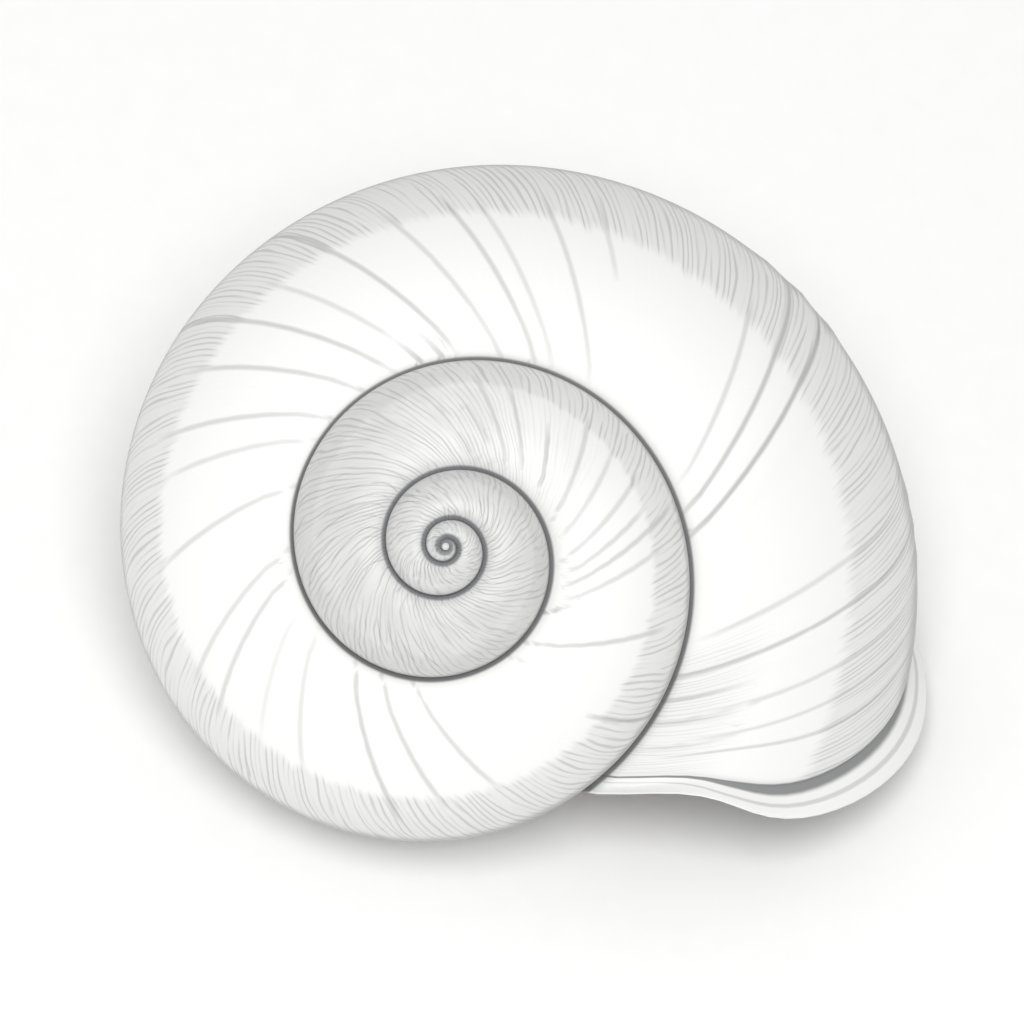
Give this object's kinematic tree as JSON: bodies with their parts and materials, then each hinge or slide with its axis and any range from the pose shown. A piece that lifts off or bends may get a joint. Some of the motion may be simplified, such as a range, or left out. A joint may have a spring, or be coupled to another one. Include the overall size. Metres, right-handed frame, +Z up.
{
  "type": "turban shell",
  "caption": "Empty turban shell, a low coiled spiral tube of round whorls that opens in a wide round mouth with a flared lip; rests mouth down.",
  "frame": {"origin": "centre of the footprint's bounding box, on the surface the shell rests on", "axes": "+Z up from the surface; +X along the shell's greatest length, towards the lip; -Y is the side that the apex leans to and the spiral is seen from"},
  "size_m": [0.0664, 0.056, 0.0367],
  "materials": {
    "shell": "satin off-white shell, faintly pearly inside the mouth"
  },
  "bodies": {
    "root": {"shell": "shell"}
  },
  "joints": []
}
